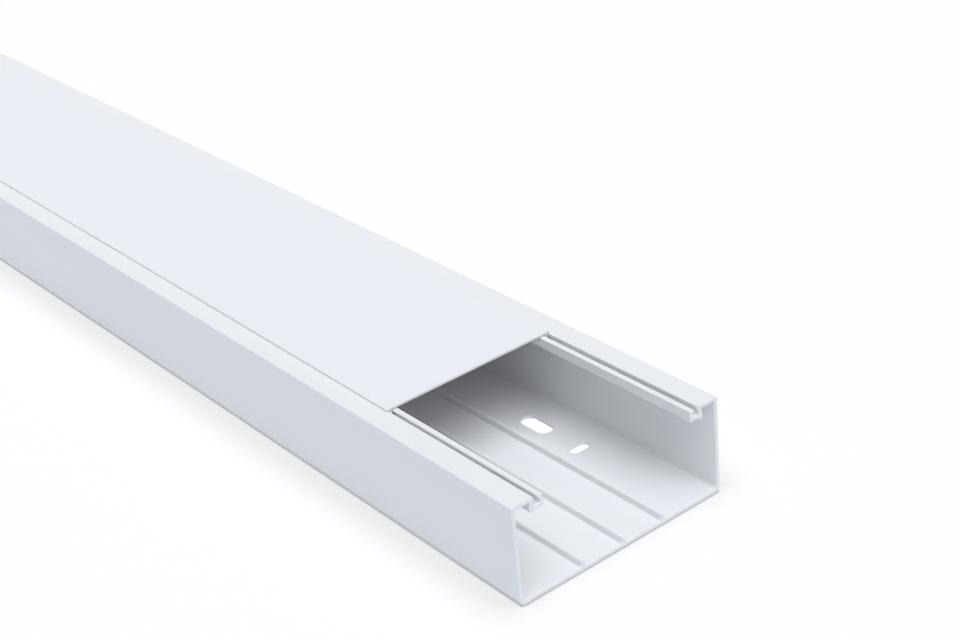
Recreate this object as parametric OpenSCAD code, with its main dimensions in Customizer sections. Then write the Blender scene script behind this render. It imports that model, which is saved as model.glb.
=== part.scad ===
// Cable trunking: a one-piece extruded channel and its snap-in lid.
// The channel lies on its back, +X runs out of the open end, +Z is up.
// The lid is slid back along the channel, so the open end shows its rails.

/* [Overall] */
// Length of the channel, and of its lid
length = 2000; // [500:100:3000]
// Width over the side walls
width = 120; // [100:5:180]
// Height over the top flanges, without the lid
height = 50; // [40:5:80]

/* [Walls] */
// Thickness of the side walls
wall = 1.8; // [1.2:0.1:2.6]
// Thickness of the floor
floor_thickness = 1.8; // [1.2:0.1:2.6]
// Outer radius where a wall meets the floor
corner_radius = 3; // [2.8:0.1:6]
// Outer radius where a wall meets its top flange
rim_radius = 0.8; // [0.3:0.1:1.5]

/* [Rails] */
// Width of each top flange, from the wall's outer face to the mouth
flange_width = 12; // [9:0.5:15]
// Thickness of the top flanges
flange_thickness = 1.7; // [1.2:0.1:2]
// Depth of each rail, from the flange's top to the groove's underside
rail_depth = 6; // [6:0.5:10]
// Thickness of the bowed web that hangs from the flange
web_thickness = 1.6; // [1:0.1:2]
// How far the web bows away from the mouth, to clear the lid's barb
web_bow = 1; // [0.6:0.1:1.4]
// How far the web's toe stands below the groove's underside
toe_drop = 1; // [0.5:0.1:1.5]
// Thickness of the groove's floor
groove_floor = 1.4; // [1:0.1:1.8]
// Width of the groove between the lip and the mouth's edge
groove_width = 3.4; // [3.3:0.1:5]
// Radius of the groove's lower corners
groove_radius = 1; // [0.4:0.1:1.2]
// Thickness of the upright lip
lip_thickness = 1.7; // [1.4:0.1:2.6]
// How far the lip's top stays below the flange's top
lip_drop = 0.3; // [0.2:0.1:1]
// Slope of the lip's top towards the middle, in degrees
lip_slope = 5; // [0:1:25]
// How far the bead at the lip's top stands into the groove
bead_reach = 1.2; // [0.6:0.05:1.3]
// Radius of the bead
bead_radius = 0.8; // [0.7:0.05:1]
// How far the bead stands above the lip's sloping top
bead_rise = 0.05; // [0.02:0.01:0.1]
// Radius of the lip's lower edge
lip_edge_radius = 0.6; // [0.3:0.1:0.9]

/* [Floor ribs] */
// Number of ribs along the floor
rib_count = 3; // [1:1:4]
// Distance from one rib to the next
rib_pitch = 24; // [15:1:26]
// Height of the ribs above the floor
rib_height = 3.4; // [1.5:0.1:5]
// Thickness of the ribs
rib_thickness = 2.2; // [1.8:0.1:3]
// Radius of the ribs' upper edges
rib_radius = 0.8; // [0.3:0.1:0.9]

/* [Fixing slots] */
// Distance from one set of slots to the next along the channel
slot_pitch = 250; // [150:10:500]
// Distance from the outer rib to the middle of each row of slots
slot_from_rib = 14.4; // [12:0.1:18]
// Distance from the open end to the middle of the first lengthwise slot
long_slot_from_end = 103; // [95:1:140]
// Length of the lengthwise slots, end to end
long_slot_length = 20; // [12:1:24]
// Width of the lengthwise slots
long_slot_width = 9; // [5:0.5:10]
// Distance from the open end to the middle of the first crosswise slot
cross_slot_from_end = 72; // [40:1:80]
// Length of the crosswise slots, end to end
cross_slot_length = 12; // [8:1:16]
// Width of the crosswise slots
cross_slot_width = 6; // [3:0.5:8]

/* [Lid] */
// How far the lid's plate covers each flange
lid_cover = 1.2; // [0.8:0.1:4]
// Thickness of the lid's plate
lid_thickness = 1.3; // [1.2:0.1:2.2]
// Radius of the plate's upper edges
lid_edge_radius = 0.6; // [0.3:0.1:0.6]
// Thickness of the lid's legs
leg_thickness = 1.4; // [1:0.1:1.5]
// How far the barb on each leg stands past the mouth's edge
barb_catch = 0.2; // [0.1:0.05:0.3]
// How far the lid is slid back from the open end
lid_setback = 100; // [0:10:300]

/* [Fit] */
// Gap between the lid's plate and the flanges' tops
plate_play = 0.1; // [0.05:0.05:0.3]
// Gap between each leg and the mouth's edge
leg_play = 0.5; // [0.3:0.1:0.8]
// Gap between each leg's end and the groove's floor
leg_end_play = 0.5; // [0.3:0.1:0.8]

/* [Hidden] */
$fn = 48;
// Overshoot of a cut past the face it opens
cut = 1;
// Half the mouth between the two flanges
mouth_half = width / 2 - flange_width;
// Height of the groove's underside and of its floor, and of the flange's underside
rail_bottom = height - rail_depth;
groove_bottom = rail_bottom + groove_floor;
flange_bottom = height - flange_thickness;
// The groove's side of the lip, and its far side
lip_outer = mouth_half - groove_width;
lip_inner = lip_outer - lip_thickness;
// Middle of the bead, the foot of the lip's sloping top inside it, and where the slope ends
bead_y = lip_outer + bead_reach - bead_radius;
bead_z = height - lip_drop - bead_radius;
slope_y = bead_y - (bead_radius - bead_rise) * sin(lip_slope);
slope_z = bead_z + (bead_radius - bead_rise) * cos(lip_slope);
lip_shoulder = slope_z - (slope_y - lip_inner) * tan(lip_slope);
// The web is an arc from the mouth's edge, bowed out the most level with the groove's floor
web_rise = flange_bottom - groove_bottom;
web_radius = (web_rise * web_rise + web_bow * web_bow) / (2 * web_bow);
web_centre_y = mouth_half + web_bow - web_radius;
// The ribs sit evenly about the middle, the slots outside them
outer_rib = rib_pitch * (rib_count - 1) / 2;
slot_row = outer_rib + slot_from_rib;
slot_sets = floor((length - long_slot_from_end - cross_slot_from_end) / slot_pitch) + 1;
// The lid's plate and legs, placed from the mouth
lid_width = 2 * (mouth_half + lid_cover);
plate_bottom = height + plate_play;
plate_top = plate_bottom + lid_thickness;
leg_inner = mouth_half - leg_play - leg_thickness;
barb_radius = (leg_thickness + leg_play + barb_catch) / 2;
barb_y = leg_inner + barb_radius;
barb_z = groove_bottom + leg_end_play + barb_radius;

// A block, upright in the section, with its own radius for the lower and
// the upper corners
module rounded_block(wide, bottom, top, low_radius, high_radius) {
    translate([-wide / 2 + low_radius, bottom])
        square([wide - 2 * low_radius, low_radius]);
    translate([-wide / 2, bottom + low_radius])
        square([wide, top - bottom - low_radius - high_radius]);
    translate([-wide / 2 + high_radius, top - high_radius])
        square([wide - 2 * high_radius, high_radius]);
    for (side = [-1, 1]) {
        translate([side * (wide / 2 - low_radius), bottom + low_radius])
            circle(r = low_radius);
        translate([side * (wide / 2 - high_radius), top - high_radius])
            circle(r = high_radius);
    }
}

// The shell: floor, walls and flanges, open at the mouth
module shell_section() {
    difference() {
        rounded_block(width, 0, height, corner_radius, rim_radius);
        rounded_block(width - 2 * wall, floor_thickness, flange_bottom,
                      corner_radius - wall, rim_radius / 2);
        translate([-mouth_half, flange_bottom - cut])
            square([2 * mouth_half, flange_thickness + 2 * cut]);
    }
}

// The bowed web under the flange, down to its toe
module web_section() {
    intersection() {
        translate([web_centre_y, groove_bottom])
            difference() {
                circle(r = web_radius + web_thickness, $fn = 96);
                circle(r = web_radius, $fn = 96);
            }
        translate([mouth_half, rail_bottom - toe_drop])
            square([flange_width, rail_depth + toe_drop - flange_thickness / 2]);
    }
}

// The lip: an upright bar with a rounded lower edge, a sloping top and a bead
module lip_section() {
    polygon([
        [lip_inner + lip_edge_radius, rail_bottom],
        [lip_outer, rail_bottom],
        [lip_outer, bead_z],
        [slope_y, slope_z],
        [lip_inner, lip_shoulder],
        [lip_inner, rail_bottom + lip_edge_radius]
    ]);
    translate([lip_inner + lip_edge_radius, rail_bottom + lip_edge_radius])
        circle(r = lip_edge_radius);
    translate([bead_y, bead_z])
        circle(r = bead_radius);
}

// The groove's floor, with a fillet against the lip and against the web
module groove_section() {
    translate([lip_outer - lip_thickness / 2, rail_bottom])
        square([groove_width + web_bow + (lip_thickness + web_thickness) / 2, groove_floor]);
    difference() {
        translate([lip_outer, groove_bottom])
            square([groove_width + web_bow, groove_radius]);
        translate([lip_outer + groove_radius, groove_bottom])
            square([groove_width + web_bow - 2 * groove_radius, groove_radius + cut]);
        for (y = [lip_outer + groove_radius, mouth_half + web_bow - groove_radius])
            translate([y, groove_bottom + groove_radius])
                circle(r = groove_radius);
    }
}

// One rail on the +Y side
module rail_section() {
    web_section();
    groove_section();
    lip_section();
}

// Ribs along the floor, each with two rounded upper edges
module rib_section() {
    for (i = [0 : rib_count - 1])
        translate([-outer_rib + i * rib_pitch, floor_thickness / 2]) {
            translate([-rib_thickness / 2, 0])
                square([rib_thickness, floor_thickness / 2 + rib_height - rib_radius]);
            translate([rib_radius - rib_thickness / 2, 0])
                square([rib_thickness - 2 * rib_radius, floor_thickness / 2 + rib_height]);
            for (side = [-1, 1])
                translate([side * (rib_thickness / 2 - rib_radius),
                           floor_thickness / 2 + rib_height - rib_radius])
                    circle(r = rib_radius);
        }
}

module base_section() {
    shell_section();
    rail_section();
    mirror([1, 0]) rail_section();
    rib_section();
}

// The lid's plate, and a barbed leg towards each groove
module lid_section() {
    rounded_block(lid_width, plate_bottom, plate_top,
                  lid_edge_radius / 4, lid_edge_radius);
    for (side = [0, 1])
        mirror([side, 0]) {
            translate([leg_inner, barb_z])
                square([leg_thickness, plate_bottom + lid_thickness / 2 - barb_z]);
            translate([barb_y, barb_z])
                circle(r = barb_radius);
        }
}

// A section carried along X, its own X across and its own Y up
module along(from, long) {
    translate([from, 0, 0])
        rotate([90, 0, 90])
            linear_extrude(height = long)
                children();
}

// A slot with round ends, cut through the floor
module slot(long, wide) {
    translate([0, 0, -cut])
        linear_extrude(height = floor_thickness + 2 * cut) {
            square([long - wide, wide], center = true);
            for (end = [-1, 1])
                translate([end * (long - wide) / 2, 0])
                    circle(d = wide);
        }
}

module fixing_slots() {
    for (i = [0 : slot_sets - 1], side = [-1, 1]) {
        translate([length / 2 - long_slot_from_end - i * slot_pitch, side * slot_row, 0])
            slot(long_slot_length, long_slot_width);
        translate([length / 2 - cross_slot_from_end - i * slot_pitch, side * slot_row, 0])
            rotate([0, 0, 90])
                slot(cross_slot_length, cross_slot_width);
    }
}

module base() {
    color("white")
        difference() {
            along(-length / 2, length) base_section();
            fixing_slots();
        }
}

module lid() {
    color("whitesmoke")
        along(-length / 2 - lid_setback, length) lid_section();
}

base();
lid();
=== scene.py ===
import math

import bpy
import numpy as np
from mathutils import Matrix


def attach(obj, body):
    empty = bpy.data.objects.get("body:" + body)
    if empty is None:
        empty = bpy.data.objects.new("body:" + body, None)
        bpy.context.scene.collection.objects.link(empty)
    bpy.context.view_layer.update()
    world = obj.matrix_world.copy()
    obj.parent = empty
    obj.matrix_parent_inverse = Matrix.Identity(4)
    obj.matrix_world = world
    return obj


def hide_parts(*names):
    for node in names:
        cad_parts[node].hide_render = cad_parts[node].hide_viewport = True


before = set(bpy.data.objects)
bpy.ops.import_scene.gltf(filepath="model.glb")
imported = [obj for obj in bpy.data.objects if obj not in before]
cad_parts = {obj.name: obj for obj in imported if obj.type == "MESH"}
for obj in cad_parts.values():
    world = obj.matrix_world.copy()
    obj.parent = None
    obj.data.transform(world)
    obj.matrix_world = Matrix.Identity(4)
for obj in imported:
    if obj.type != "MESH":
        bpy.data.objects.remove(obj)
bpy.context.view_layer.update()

# Shapes are worked out in millimetres: X along, Y across, Z up from the back face.
MM = 0.001

# The channel's section.
LENGTH = 2000.0
WIDTH = 120.0
HEIGHT = 50.0
WALL = 1.8
FLOOR = 1.8
CORNER_RADIUS = 3.0
RIM_RADIUS = 0.8
FLANGE_WIDTH = 12.0
FLANGE = 1.7
RAIL_DEPTH = 6.0
WEB = 1.6
WEB_BOW = 1.0
TOE_DROP = 1.0
GROOVE_FLOOR = 1.4
GROOVE_WIDTH = 3.4
GROOVE_RADIUS = 1.0
LIP = 1.7
LIP_DROP = 0.3
LIP_SLOPE = 5.0
BEAD_REACH = 1.2
BEAD_RADIUS = 0.8
BEAD_RISE = 0.05
LIP_EDGE = 0.6
RIB_PITCH = 24.0
RIB_HEIGHT = 3.4
RIB = 2.2
RIB_RADIUS = 0.8

# The fixing slots, counted back from the open end; cell is half the length of the flat round a slot.
SLOT_PITCH = 250.0
SLOT_SETS = 8
SLOT_FROM_RIB = 14.4
LONG_SLOT = dict(from_end=103.0, along=20.0, across=9.0, cell=14.0)
CROSS_SLOT = dict(from_end=72.0, along=6.0, across=12.0, cell=10.0)

# The lid's section, how far it has been slid back, and its play on the rails.
LID_COVER = 1.2
LID = 1.3
LID_EDGE = 0.6
LEG = 1.4
BARB_CATCH = 0.2
LID_SETBACK = 100.0
PLATE_PLAY = 0.1
LEG_PLAY = 0.5
LEG_END_PLAY = 0.5

# Small radii that the die leaves on edges and in corners, and the breaks that saw and punch leave.
MOUTH_EDGE = 0.3
TOE_ROOT = 0.1
TOE_INNER = 0.4
TOE_OUTER = 0.5
ROOT_EDGE = 0.25
LEG_ROOT = 0.2
CUT_EDGE = 0.12
PUNCH_EDGE = 0.2

# How outlines are drawn: points on each round, the short flat kept beside a rounded corner, and
# how many radii the web's faces stop short of the corner that follows them.
CORNER_STEPS = 7
INNER_WEB_STEPS = 9
OUTER_WEB_STEPS = 13
BEAD_STEPS = 15
BARB_STEPS = 17
SLOT_STEPS = 12
SHOULDER = 0.2
FILLET_ROOM = 1.15
TOE_ROOM = 1.5

# An edge is sharp past this angle in degrees; the rest are tolerances, lengths in millimetres.
SHARP_ANGLE = 32.0
SAME_POINT = 1e-4
ON_LEVEL = 1e-3
STRIP_LEAST = 10.0
STATION_DECIMALS = 4
TINY = 1e-6

# Finishes. A pattern is a noise: its scale, its stretch along X, Y and Z, and its detail.
CHANNEL_PVC = (0.848, 0.852, 0.862)
LID_PVC = (0.848, 0.853, 0.874)
# The sawn ends' tint, darker than the skin: partly the duller cut face, partly painted shade that darkens
# the end faces turned to the lamps.
SAWN_TINT_AND_PAINTED_SHADE = (0.75, 0.754, 0.764)
DIE_LINES = (1.0, (0.8, 900.0, 900.0), 4.0)
COLOUR_CLOUDS = (9.0, (1.0, 3.0, 3.0), 3.0)
SKIN_GRAIN = (2600.0, (1.0, 1.0, 1.0), 2.0)
SAW_SCRATCHES = (1.0, (400.0, 260.0, 3200.0), 3.0)
NOISE_SPAN = (0.3, 0.7)
CLOUD_SHADES = (0.985, 1.0)
SCRATCH_SHADES = (0.97, 1.02)
SKIN_ROUGHNESS = (0.42, 0.52)
SAWN_ROUGHNESS = (0.5, 0.62)
PVC_IOR = 1.53

# Relief of a pattern: its strength, and its depth in metres.
LINE_RELIEF = (0.06, 0.00005)
GRAIN_RELIEF = (0.08, 0.00003)
SCRATCH_RELIEF = (0.15, 0.00008)

# Lamps, in degrees; a level of 1 lights a white face that is turned to the lamp to plain white.
COOL_WHITE = (0.925, 0.955, 1.0)
PLAIN_WHITE = (1.0, 1.0, 1.0)
WORLD_LEVEL = 0.3
SOFT_KEY = dict(level=0.68, azimuth=-13.0, elevation=71.0, softness=54.0, colour=COOL_WHITE)
END_FILL = dict(level=0.16, azimuth=-4.0, elevation=30.0, softness=54.0, colour=PLAIN_WHITE)
SIDE_FILL = dict(level=0.03, azimuth=-80.0, elevation=18.0, softness=20.0, colour=COOL_WHITE)

# The studio's floor, in metres, and the painted shadow that darkens its white close to the part: a thin
# contact shadow and a wider soft shadow, each a distance, the most blocked share and the darkest shade.
FLOOR_TINT = (0.90, 0.94, 1.0)
FLOOR_REACH = 30.0
FLOOR_DROP = 0.0002
FLOOR_WHITE = 0.9
SHADE_SAMPLES = 12
PAINTED_CONTACT_SHADOW = dict(distance=0.0013, most_blocked=0.2, darkest=0.58)
PAINTED_SOFT_SHADOW = dict(distance=0.023, most_blocked=0.38, darkest=0.83)
UNDER_EDGE = 0.01

# The photograph's camera, for a 960 by 640 picture: millimetres of lens, metres, degrees.
LENS = 67.0
SENSOR = 36.0
CLIP = (0.05, 100.0)
CAMERA_PLACE = (1.48383, -0.42459, 0.46469)
CAMERA_TURN = (61.60, 5.152, 50.670)

# Places that follow from the sizes.
MOUTH = WIDTH / 2 - FLANGE_WIDTH
RAIL_BOTTOM = HEIGHT - RAIL_DEPTH
GROOVE_BOTTOM = RAIL_BOTTOM + GROOVE_FLOOR
FLANGE_BOTTOM = HEIGHT - FLANGE
INNER_WALL = WIDTH / 2 - WALL
LIP_OUTER = MOUTH - GROOVE_WIDTH
LIP_INNER = LIP_OUTER - LIP
SLOT_ROW = RIB_PITCH + SLOT_FROM_RIB


def arc(centre, radius, start, stop, count):
    """Points on a circle: centre plus radius times (cos a, sin a), a from start to stop degrees."""
    a = np.radians(np.linspace(start, stop, count))
    return np.stack([centre[0] + radius * np.cos(a), centre[1] + radius * np.sin(a)], 1)


def rounded_outline(corners, radii):
    """Closed outline with each corner rounded by an arc of its own radius.

    With unit directions a and b from a corner to its neighbours and h half the angle between
    them, the arc's centre lies r / sin h along the bisector, and it touches both sides r / tan h
    from the corner. Points turn evenly from one touching point to the other. A shoulder point on
    each side, a little before the arc, keeps the shading of the flat beside it flat.
    """
    p = np.asarray(corners, float)
    r = np.asarray(radii, float)[:, None]
    back = np.roll(p, 1, 0) - p
    ahead = np.roll(p, -1, 0) - p
    back_length = np.linalg.norm(back, axis=1, keepdims=True)
    ahead_length = np.linalg.norm(ahead, axis=1, keepdims=True)
    back = back / back_length
    ahead = ahead / ahead_length
    half = 0.5 * np.arccos(np.clip((back * ahead).sum(1, keepdims=True), -1.0, 1.0))
    touch = r / np.tan(half)
    bisector = back + ahead
    bisector = bisector / np.maximum(np.linalg.norm(bisector, axis=1, keepdims=True), TINY)
    centre = p + bisector * r / np.sin(half)
    turn = np.maximum(math.pi - 2.0 * half, TINY)[:, None]
    first = (p + back * touch - centre)[:, None]
    last = (p + ahead * touch - centre)[:, None]
    s = np.linspace(0.0, 1.0, CORNER_STEPS)[None, :, None]
    spread = np.sin((1.0 - s) * turn) * first + np.sin(s * turn) * last
    curve = centre[:, None] + spread / np.sin(turn)
    before = p + back * np.maximum(touch, np.minimum(touch + SHOULDER, back_length / 2))
    after = p + ahead * np.maximum(touch, np.minimum(touch + SHOULDER, ahead_length / 2))
    is_round = r > 0.0
    curve = np.where(is_round[:, None], curve, p[:, None])
    before = np.where(is_round, before, p)
    after = np.where(is_round, after, p)
    loop = np.concatenate([before[:, None], curve, after[:, None]], 1).reshape(-1, 2)
    gap = np.linalg.norm(loop - np.roll(loop, 1, 0), axis=1)
    return loop[gap > SAME_POINT]


def inset_outline(loop, depth):
    """The outline moved into the plastic: each point goes depth along its sides' mean inward normal."""
    side = np.roll(loop, -1, 0) - loop
    normal = np.stack([-side[:, 1], side[:, 0]], 1)
    normal = normal / np.linalg.norm(normal, axis=1, keepdims=True)
    mean = normal + np.roll(normal, 1, 0)
    mean = mean / np.linalg.norm(mean, axis=1, keepdims=True)
    return loop + depth * mean


class HalfSection:
    """The +Y half of a section, listed counter-clockwise: corners with their radii, and curves."""

    def __init__(self):
        self.points = []
        self.radii = []

    def corner(self, y, z, radius=0.0):
        """Adds a corner, which its radius will round."""
        self.points.append((y, z))
        self.radii.append(radius)

    def curve(self, rows):
        """Adds points that lie on a curve already."""
        self.points.extend(map(tuple, rows))
        self.radii.extend([0.0] * len(rows))

    def closed(self):
        """The whole outline: this half, then its mirror image across Y = 0 read backwards."""
        half = np.array(self.points)
        mirrored = half[::-1] * (-1.0, 1.0)
        return rounded_outline(np.concatenate([half, mirrored]), self.radii + self.radii[::-1])


def base_outline():
    """The channel's section, counter-clockwise seen from the open end.

    The half runs from the back face round the wall, flange, bowed web, groove, beaded lip, toe and
    inside to the middle rib. The web's two faces are arcs about one centre, level with the groove's
    floor, and the lip's top is a straight slope that runs into the bead's circle a hair below its
    top.
    """
    web_rise = FLANGE_BOTTOM - GROOVE_BOTTOM
    web_radius = (web_rise ** 2 + WEB_BOW ** 2) / (2 * WEB_BOW)
    web_centre = (MOUTH + WEB_BOW - web_radius, GROOVE_BOTTOM)
    outer_radius = web_radius + WEB
    toe_z = RAIL_BOTTOM - TOE_DROP
    bead_centre = (LIP_OUTER + BEAD_REACH - BEAD_RADIUS, HEIGHT - LIP_DROP - BEAD_RADIUS)
    bead_start = -math.degrees(math.acos((LIP_OUTER - bead_centre[0]) / BEAD_RADIUS))
    bead_end = 90.0 + LIP_SLOPE + math.degrees(math.acos(1.0 - BEAD_RISE / BEAD_RADIUS))
    slope = math.radians(LIP_SLOPE)
    slope_y = bead_centre[0] - (BEAD_RADIUS - BEAD_RISE) * math.sin(slope)
    slope_z = bead_centre[1] + (BEAD_RADIUS - BEAD_RISE) * math.cos(slope)
    shoulder_z = slope_z - (slope_y - LIP_INNER) * math.tan(slope)
    rib_top = FLOOR + RIB_HEIGHT
    strip_in = RIB_PITCH + RIB / 2 + ROOT_EDGE + SHOULDER
    strip_out = WIDTH / 2 - CORNER_RADIUS - SHOULDER

    def web_y(z, radius):
        """Where a face of the web is at a height."""
        return web_centre[0] + math.sqrt(radius ** 2 - (z - web_centre[1]) ** 2)

    def web_face(radius, start_z, stop_z, count):
        """A face of the web from one height to another: an arc about the web's centre."""
        start, stop = (math.degrees(math.asin((z - web_centre[1]) / radius)) for z in (start_z, stop_z))
        return arc(web_centre, radius, start, stop, count)

    half = HalfSection()
    half.corner(strip_in, 0.0)
    half.corner(strip_out, 0.0)
    half.corner(WIDTH / 2, 0.0, CORNER_RADIUS)
    half.corner(WIDTH / 2, HEIGHT, RIM_RADIUS)
    half.corner(MOUTH, HEIGHT, MOUTH_EDGE)
    half.corner(MOUTH, FLANGE_BOTTOM)
    fillet_z = GROOVE_BOTTOM + GROOVE_RADIUS * FILLET_ROOM
    half.curve(web_face(web_radius, FLANGE_BOTTOM, fillet_z, INNER_WEB_STEPS)[1:])
    half.corner(MOUTH + WEB_BOW, GROOVE_BOTTOM, GROOVE_RADIUS)
    half.corner(LIP_OUTER, GROOVE_BOTTOM, GROOVE_RADIUS)
    half.curve(arc(bead_centre, BEAD_RADIUS, bead_start, bead_end, BEAD_STEPS))
    half.corner(LIP_INNER, shoulder_z, MOUTH_EDGE)
    half.corner(LIP_INNER, RAIL_BOTTOM, LIP_EDGE)
    half.corner(web_y(RAIL_BOTTOM, web_radius), RAIL_BOTTOM, TOE_ROOT)
    half.corner(web_y(toe_z, web_radius), toe_z, TOE_INNER)
    half.corner(web_y(toe_z, outer_radius), toe_z, TOE_OUTER)
    low_z = toe_z + TOE_OUTER * TOE_ROOM
    half.curve(web_face(outer_radius, low_z, FLANGE_BOTTOM, OUTER_WEB_STEPS))
    half.corner(INNER_WALL, FLANGE_BOTTOM, RIM_RADIUS / 2)
    half.corner(INNER_WALL, FLOOR, CORNER_RADIUS - WALL)
    half.corner(RIB_PITCH + RIB / 2, FLOOR, ROOT_EDGE)
    half.corner(RIB_PITCH + RIB / 2, rib_top, RIB_RADIUS)
    half.corner(RIB_PITCH - RIB / 2, rib_top, RIB_RADIUS)
    half.corner(RIB_PITCH - RIB / 2, FLOOR, ROOT_EDGE)
    half.corner(RIB / 2, FLOOR, ROOT_EDGE)
    half.corner(RIB / 2, rib_top, RIB_RADIUS)
    return half.closed()


def lid_outline():
    """The lid's section, counter-clockwise: plate, and a leg with a round barb towards each groove.

    Each barb is a circle as wide as the leg, its play and its catch together, level with the leg's
    inner face on one side and standing past the mouth's edge on the other.
    """
    half_width = MOUTH + LID_COVER
    bottom = HEIGHT + PLATE_PLAY
    leg_outer = MOUTH - LEG_PLAY
    leg_inner = leg_outer - LEG
    barb_radius = (LEG + LEG_PLAY + BARB_CATCH) / 2
    barb = (leg_inner + barb_radius, GROOVE_BOTTOM + LEG_END_PLAY + barb_radius)
    barb_end = 360.0 + math.degrees(math.acos((leg_outer - barb[0]) / barb_radius))

    half = HalfSection()
    half.corner(leg_inner, bottom, ROOT_EDGE)
    half.curve(arc(barb, barb_radius, 180.0, barb_end, BARB_STEPS))
    half.corner(leg_outer, bottom, LEG_ROOT)
    half.corner(half_width, bottom, LID_EDGE / 4)
    half.corner(half_width, bottom + LID, LID_EDGE)
    return half.closed()


def carried(loop, stations):
    """A profile carried along X: point (station, outline point), both end rings drawn in for the cut."""
    drawn_in = inset_outline(loop, CUT_EDGE)
    rings = np.repeat(loop[None], len(stations), 0)
    rings[0] = drawn_in
    rings[-1] = drawn_in
    x = np.repeat(np.asarray(stations)[:, None], len(loop), 1)
    return np.concatenate([x[:, :, None], rings], 2)


def ring_quads(rings, count, first=0):
    """Index grid of the quads between neighbouring closed rings: one row a ring, one column a side."""
    i = first + np.arange(rings - 1)[:, None] * count
    j = np.arange(count)[None, :]
    k = (j + 1) % count
    return np.stack([i + j, i + k, i + count + k, i + count + j], 2)


def end_faces(stations, count):
    """The two sawn ends: the first ring, read backwards, and the last."""
    ring = np.arange(count)
    return [ring[::-1].tolist(), ((stations - 1) * count + ring).tolist()]


def round_slot(along, across, grow):
    """A slot's outline, counter-clockwise from its +Y side: half circles on the ends of a straight."""
    long, wide = max(along, across), min(along, across)
    a = np.radians(np.linspace(0.0, 180.0, SLOT_STEPS + 1))
    radius = wide / 2 + grow
    reach = (long - wide) / 2
    end = np.stack([-reach - radius * np.sin(a), radius * np.cos(a)], 1)
    if along >= across:
        return np.concatenate([[(0.0, radius)], end, [(0.0, -radius)], -end])
    turned = np.stack([end[:, 1], -end[:, 0]], 1)
    quarter = SLOT_STEPS // 2
    return np.concatenate([turned[quarter:], -turned, turned[:quarter]])


def slot_rings(slot, x, y):
    """Four rings down one slot: rim on the floor, wall, wall, rim on the back; rims have a broken edge."""
    wide = round_slot(slot["along"], slot["across"], PUNCH_EDGE) + (x, y)
    tight = round_slot(slot["along"], slot["across"], 0.0) + (x, y)
    levels = ((wide, FLOOR), (tight, FLOOR - PUNCH_EDGE), (tight, PUNCH_EDGE), (wide, 0.0))
    return np.stack([np.column_stack([ring, np.full(len(ring), z)]) for ring, z in levels])


def strip_ends(loop, height, side):
    """Outline points, low Y first, that bound the flat strip between the outer rib and the wall."""
    ahead = np.roll(loop, -1, 0)
    mid = (loop + ahead) / 2
    wide = np.abs(ahead[:, 0] - loop[:, 0]) > STRIP_LEAST
    hit = wide & (np.abs(mid[:, 1] - height) < ON_LEVEL) & (mid[:, 0] * side > RIB_PITCH)
    j = int(np.nonzero(hit)[0][0])
    k = (j + 1) % len(loop)
    return (j, k) if loop[j, 0] < loop[k, 0] else (k, j)


def flats_round(rim, lowest, strip, rows):
    """The two flat faces, left and right of a slot, that join its rim to the edges of its strip.

    The rim's indices run counter-clockwise from its +Y side, and lowest is its place nearest to -Y.
    The strip is its two outline points, and rows are the first indices of the three stations before,
    at and after the slot.
    """
    near, far = strip
    before, at, after = rows
    left_rim = rim[lowest::-1]
    right_rim = np.concatenate([rim[:1], rim[:lowest - 1:-1]])
    left = np.concatenate([[before + near, at + near], left_rim, [at + far, before + far]])
    right = np.concatenate([[at + near, after + near, after + far, at + far], right_rim])
    return left, right


def slot_pair(loop, station, first, slot, x):
    """The two like slots of a set, one in each row: points, quads and flat faces, counted from first."""
    outline = round_slot(slot["along"], slot["across"], 0.0)
    lowest = int(np.argmin(outline[:, 1] + TINY * np.abs(outline[:, 0])))
    rows = np.arange(station - 1, station + 2) * len(loop)
    points = []
    quads = []
    flats = []
    for side in (-1.0, 1.0):
        rings = slot_rings(slot, x, side * SLOT_ROW)
        levels, count = rings.shape[:2]
        points.append(rings.reshape(-1, 3))
        quads.append(ring_quads(levels, count, first).reshape(-1, 4))
        top_rim = first + np.arange(count)
        back_rim = top_rim + (levels - 1) * count
        for face in flats_round(top_rim, lowest, strip_ends(loop, FLOOR, side), rows):
            flats.append(face.tolist())
        for face in flats_round(back_rim, lowest, strip_ends(loop, 0.0, side), rows):
            flats.append(face[::-1].tolist())
        first += levels * count
    return np.concatenate(points), np.concatenate(quads), flats


def finished_mesh(name, points, quads, flats, ends, materials):
    """Puts the arrays into one mesh, in metres, smooth but for its real corners, with sawn ends."""
    mesh = bpy.data.meshes.new(name)
    faces = quads.tolist() + flats + ends
    mesh.from_pydata((points * MM).tolist(), [], faces)
    for material in materials:
        mesh.materials.append(material)
    finish = np.zeros(len(faces), np.int32)
    finish[len(faces) - len(ends):] = 1
    mesh.polygons.foreach_set("material_index", finish)
    mesh.polygons.foreach_set("use_smooth", np.ones(len(faces), bool))
    mesh.set_sharp_from_angle(angle=math.radians(SHARP_ANGLE))
    mesh.update()
    piece = bpy.data.objects.new(name, mesh)
    bpy.context.scene.collection.objects.link(piece)
    return piece


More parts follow.
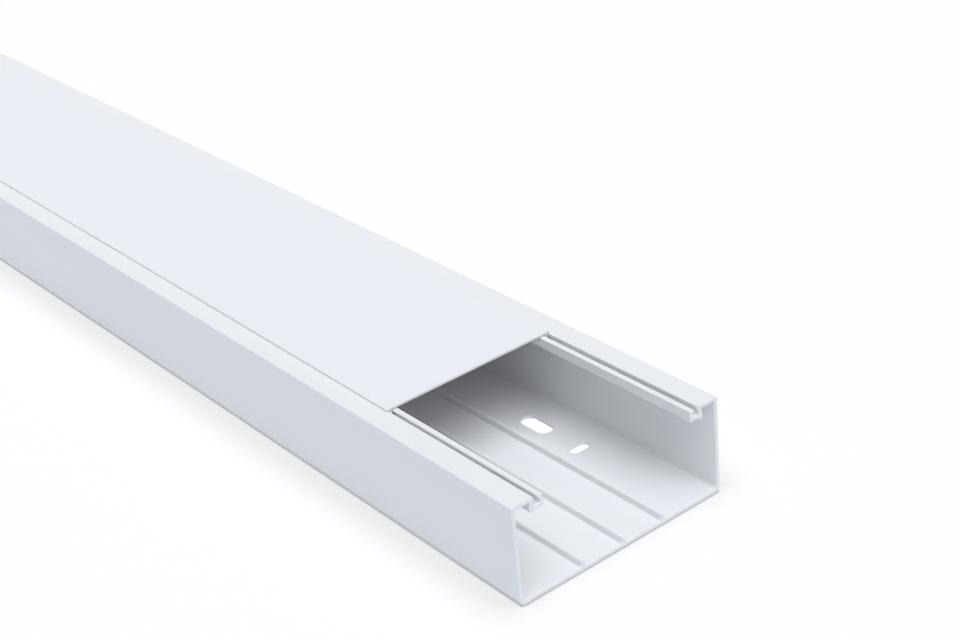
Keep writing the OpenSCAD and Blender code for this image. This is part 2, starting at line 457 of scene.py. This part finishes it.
def channel_piece(materials):
    """The channel: its section carried along X, with the slots' flats, rims and walls in the floor."""
    loop = base_outline()
    half = LENGTH / 2
    sets = np.arange(SLOT_SETS) * SLOT_PITCH
    slots = [(slot, x) for slot in (LONG_SLOT, CROSS_SLOT) for x in half - slot["from_end"] - sets]
    cuts = [x + d * slot["cell"] for slot, x in slots for d in (-1, 0, 1)]
    ends = [-half, -half + CUT_EDGE, half - CUT_EDGE, half]
    stations = np.unique(np.round(ends + cuts, STATION_DECIMALS))
    grid = carried(loop, stations).reshape(-1, 3)
    faces = ring_quads(len(stations), len(loop))
    kept = np.ones(faces.shape[:2], bool)
    strips = [strip_ends(loop, height, side) for height in (0.0, FLOOR) for side in (-1.0, 1.0)]
    columns = [j if (j + 1) % len(loop) == k else k for j, k in strips]
    points = [grid]
    quads = []
    flats = []
    total = len(grid)
    for slot, x in slots:
        station = int(np.argmin(np.abs(stations - x)))
        slot_points, slot_quads, slot_flats = slot_pair(loop, station, total, slot, x)
        points.append(slot_points)
        quads.append(slot_quads)
        flats += slot_flats
        total += len(slot_points)
        kept[station - 1:station + 1, columns] = False
    quads.append(faces[kept])
    caps = end_faces(len(stations), len(loop))
    return finished_mesh("channel", np.concatenate(points), np.concatenate(quads), flats, caps, materials)


def lid_piece(materials):
    """The lid: its section carried along X, slid back from the open end."""
    loop = lid_outline()
    half = LENGTH / 2
    stations = np.array([-half, -half + CUT_EDGE, half - CUT_EDGE, half]) - LID_SETBACK
    points = carried(loop, stations).reshape(-1, 3)
    quads = ring_quads(len(stations), len(loop)).reshape(-1, 4)
    caps = end_faces(len(stations), len(loop))
    return finished_mesh("snap_lid", points, quads, [], caps, materials)


def new_pvc(name):
    """A rigid PVC material: its nodes and links, its shader, and the object coordinates."""
    material = bpy.data.materials.new(name)
    material.use_nodes = True
    nodes = material.node_tree.nodes
    links = material.node_tree.links
    nodes.clear()
    out = nodes.new("ShaderNodeOutputMaterial")
    shader = nodes.new("ShaderNodeBsdfPrincipled")
    shader.inputs["IOR"].default_value = PVC_IOR
    links.new(shader.outputs["BSDF"], out.inputs["Surface"])
    place = nodes.new("ShaderNodeTexCoord").outputs["Object"]
    return material, nodes, links, shader, place


def noise(nodes, links, place, scale, stretch, detail):
    """Noise on object coordinates, stretched by its own mapping."""
    mapping = nodes.new("ShaderNodeMapping")
    mapping.inputs["Scale"].default_value = stretch
    links.new(place, mapping.inputs["Vector"])
    texture = nodes.new("ShaderNodeTexNoise")
    texture.inputs["Scale"].default_value = scale
    texture.inputs["Detail"].default_value = detail
    links.new(mapping.outputs["Vector"], texture.inputs["Vector"])
    return texture.outputs["Fac"]


def map_range(nodes, links, value, span, low, high):
    """Maps a value from the span's two ends to low and high, and holds it there beyond them."""
    ranged = nodes.new("ShaderNodeMapRange")
    ranged.inputs["From Min"].default_value = span[0]
    ranged.inputs["From Max"].default_value = span[1]
    ranged.inputs["To Min"].default_value = low
    ranged.inputs["To Max"].default_value = high
    links.new(value, ranged.inputs["Value"])
    return ranged.outputs["Result"]


def tinted(nodes, links, pattern, tint, shades):
    """A tint whose brightness follows a pattern, from the first shade to the second."""
    mix = nodes.new("ShaderNodeMix")
    mix.data_type = "RGBA"
    for socket, shade in zip(("A", "B"), shades):
        mix.inputs[socket].default_value = (*(c * shade for c in tint), 1.0)
    links.new(map_range(nodes, links, pattern, NOISE_SPAN, 0.0, 1.0), mix.inputs["Factor"])
    return mix.outputs["Result"]


def relief(nodes, links, pattern, strength, depth):
    """A bump node that a pattern raises."""
    bump = nodes.new("ShaderNodeBump")
    bump.inputs["Strength"].default_value = strength
    bump.inputs["Distance"].default_value = depth
    links.new(pattern, bump.inputs["Height"])
    return bump


def extruded_pvc(name, tint):
    """Extruded white PVC: satin skin, die lines along the length, a faint unevenness of colour."""
    material, nodes, links, shader, place = new_pvc(name)
    die_lines = noise(nodes, links, place, *DIE_LINES)
    clouds = noise(nodes, links, place, *COLOUR_CLOUDS)
    skin = noise(nodes, links, place, *SKIN_GRAIN)
    roughness = map_range(nodes, links, die_lines, NOISE_SPAN, *SKIN_ROUGHNESS)
    lines = relief(nodes, links, die_lines, *LINE_RELIEF)
    grain = relief(nodes, links, skin, *GRAIN_RELIEF)
    links.new(tinted(nodes, links, clouds, tint, CLOUD_SHADES), shader.inputs["Base Color"])
    links.new(roughness, shader.inputs["Roughness"])
    links.new(lines.outputs["Normal"], grain.inputs["Normal"])
    links.new(grain.outputs["Normal"], shader.inputs["Normal"])
    return material


def sawn_pvc(name, tint):
    """A sawn end: a duller face with fine saw scratches across it. Its tint, darker than the skin, is
    partly painted shade.
    """
    material, nodes, links, shader, place = new_pvc(name)
    scratches = noise(nodes, links, place, *SAW_SCRATCHES)
    roughness = map_range(nodes, links, scratches, NOISE_SPAN, *SAWN_ROUGHNESS)
    scored = relief(nodes, links, scratches, *SCRATCH_RELIEF)
    links.new(tinted(nodes, links, scratches, tint, SCRATCH_SHADES), shader.inputs["Base Color"])
    links.new(roughness, shader.inputs["Roughness"])
    links.new(scored.outputs["Normal"], shader.inputs["Normal"])
    return material


def math_node(nodes, links, operation, first, second=0.0):
    """One sum on one or two values; each is a number or another node's output."""
    node = nodes.new("ShaderNodeMath")
    node.operation = operation
    for socket, value in zip(node.inputs, (first, second)):
        if isinstance(value, float):
            socket.default_value = value
        else:
            links.new(value, socket)
    return node.outputs["Value"]


def looked_at(nodes, links):
    """1 for rays that look at a surface, straight, mirrored or through, and 0 for rays that only light."""
    path = nodes.new("ShaderNodeLightPath").outputs
    seen = math_node(nodes, links, "MAXIMUM", path["Is Camera Ray"], path["Is Glossy Ray"])
    return math_node(nodes, links, "MAXIMUM", seen, path["Is Transmission Ray"])


def painted_close_shade(nodes, links, distance, most_blocked, darkest):
    """Painted shadow: 1 on open floor, down to darkest where that share of the view up is blocked within
    the distance.
    """
    view_up = nodes.new("ShaderNodeAmbientOcclusion")
    view_up.samples = SHADE_SAMPLES
    view_up.inputs["Distance"].default_value = distance
    return map_range(nodes, links, view_up.outputs["AO"], (1.0 - most_blocked, 1.0), darkest, 1.0)


def under_channel(nodes, links):
    """1 on the floor that shows through the slots, 0 elsewhere: |x| and |y| stay inside the channel."""
    place = nodes.new("ShaderNodeSeparateXYZ")
    links.new(nodes.new("ShaderNodeTexCoord").outputs["Object"], place.inputs["Vector"])
    far_along = math_node(nodes, links, "ABSOLUTE", place.outputs["X"])
    far_across = math_node(nodes, links, "ABSOLUTE", place.outputs["Y"])
    in_length = math_node(nodes, links, "LESS_THAN", far_along, LENGTH / 2 * MM - UNDER_EDGE)
    in_width = math_node(nodes, links, "LESS_THAN", far_across, WIDTH / 2 * MM - UNDER_EDGE)
    return math_node(nodes, links, "MULTIPLY", in_length, in_width)


def floor_white():
    """The floor's finish: matt when it lights, and mostly plain white when it is looked at.

    The white carries a painted shadow worked out from occlusion, a thin contact shadow and a wider soft
    one near the part, while its matt share keeps the real shadow. The white is whole under the channel.
    """
    material = bpy.data.materials.new("floor_white")
    material.use_nodes = True
    nodes = material.node_tree.nodes
    links = material.node_tree.links
    nodes.clear()
    out = nodes.new("ShaderNodeOutputMaterial")
    matt = nodes.new("ShaderNodeBsdfDiffuse")
    matt.inputs["Color"].default_value = (*FLOOR_TINT, 1.0)
    # Painted shadow: occlusion darkens the floor's white into a thin contact shadow and a wider soft
    # shadow.
    contact = painted_close_shade(nodes, links, **PAINTED_CONTACT_SHADOW)
    soft = painted_close_shade(nodes, links, **PAINTED_SOFT_SHADOW)
    shade = math_node(nodes, links, "MULTIPLY", contact, soft)
    under = under_channel(nodes, links)
    white = nodes.new("ShaderNodeEmission")
    links.new(math_node(nodes, links, "MAXIMUM", shade, under), white.inputs["Strength"])
    share = math_node(nodes, links, "MAXIMUM", under, FLOOR_WHITE)
    mix = nodes.new("ShaderNodeMixShader")
    links.new(math_node(nodes, links, "MULTIPLY", looked_at(nodes, links), share), mix.inputs["Fac"])
    links.new(matt.outputs["BSDF"], mix.inputs[1])
    links.new(white.outputs["Emission"], mix.inputs[2])
    links.new(mix.outputs["Shader"], out.inputs["Surface"])
    return material


def studio_floor():
    """A wide pale floor, a hair below the part."""
    mesh = bpy.data.meshes.new("studio_floor")
    reach = FLOOR_REACH
    corners = [(-reach, -reach, 0.0), (reach, -reach, 0.0), (reach, reach, 0.0), (-reach, reach, 0.0)]
    mesh.from_pydata(corners, [], [(0, 1, 2, 3)])
    mesh.materials.append(floor_white())
    floor = bpy.data.objects.new("studio_floor", mesh)
    floor.location.z = -FLOOR_DROP
    bpy.context.scene.collection.objects.link(floor)


def studio_world():
    """An even surround: it lights at its level, and it looks white where it is seen or mirrored."""
    world = bpy.data.worlds.new("studio")
    world.use_nodes = True
    bpy.context.scene.world = world
    nodes = world.node_tree.nodes
    links = world.node_tree.links
    nodes.clear()
    out = nodes.new("ShaderNodeOutputWorld")
    light = nodes.new("ShaderNodeBackground")
    light.inputs["Color"].default_value = (*COOL_WHITE, 1.0)
    light.inputs["Strength"].default_value = WORLD_LEVEL
    seen = nodes.new("ShaderNodeBackground")
    seen.inputs["Color"].default_value = (*PLAIN_WHITE, 1.0)
    seen.inputs["Strength"].default_value = 1.0
    mix = nodes.new("ShaderNodeMixShader")
    links.new(looked_at(nodes, links), mix.inputs["Fac"])
    links.new(light.outputs["Background"], mix.inputs[1])
    links.new(seen.outputs["Background"], mix.inputs[2])
    links.new(mix.outputs["Shader"], out.inputs["Surface"])


def studio_lamp(name, level, azimuth, elevation, softness, colour):
    """A broad soft lamp, its azimuth counted from +X towards +Y.

    It lights but isn't mirrored, so the skin mirrors only the even surround.
    """
    lamp = bpy.data.lights.new(name, "SUN")
    lamp.energy = math.pi * level
    lamp.angle = math.radians(softness)
    lamp.color = colour
    holder = bpy.data.objects.new(name, lamp)
    holder.rotation_euler = (0.0, math.radians(90.0 - elevation), math.radians(azimuth))
    holder.visible_glossy = False
    bpy.context.scene.collection.objects.link(holder)


def photo_camera():
    """The camera at the photograph's angle."""
    lens = bpy.data.cameras.new("photo_camera")
    lens.sensor_fit = "HORIZONTAL"
    lens.sensor_width = SENSOR
    lens.lens = LENS
    lens.clip_start, lens.clip_end = CLIP
    camera = bpy.data.objects.new("photo_camera", lens)
    camera.location = CAMERA_PLACE
    camera.rotation_euler = [math.radians(a) for a in CAMERA_TURN]
    bpy.context.scene.collection.objects.link(camera)
    bpy.context.scene.camera = camera


channel_skin = extruded_pvc("channel_pvc", CHANNEL_PVC)
lid_skin = extruded_pvc("lid_pvc", LID_PVC)
sawn_end = sawn_pvc("sawn_pvc", SAWN_TINT_AND_PAINTED_SHADE)

channel = channel_piece([channel_skin, sawn_end])
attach(channel, "base")
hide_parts("base")

lid = lid_piece([lid_skin, sawn_end])
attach(lid, "lid")
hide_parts("lid")

studio_floor()
studio_world()
studio_lamp("soft_key", **SOFT_KEY)
studio_lamp("end_fill", **END_FILL)
studio_lamp("side_fill", **SIDE_FILL)
photo_camera()

bpy.context.scene.view_settings.view_transform = "Standard"
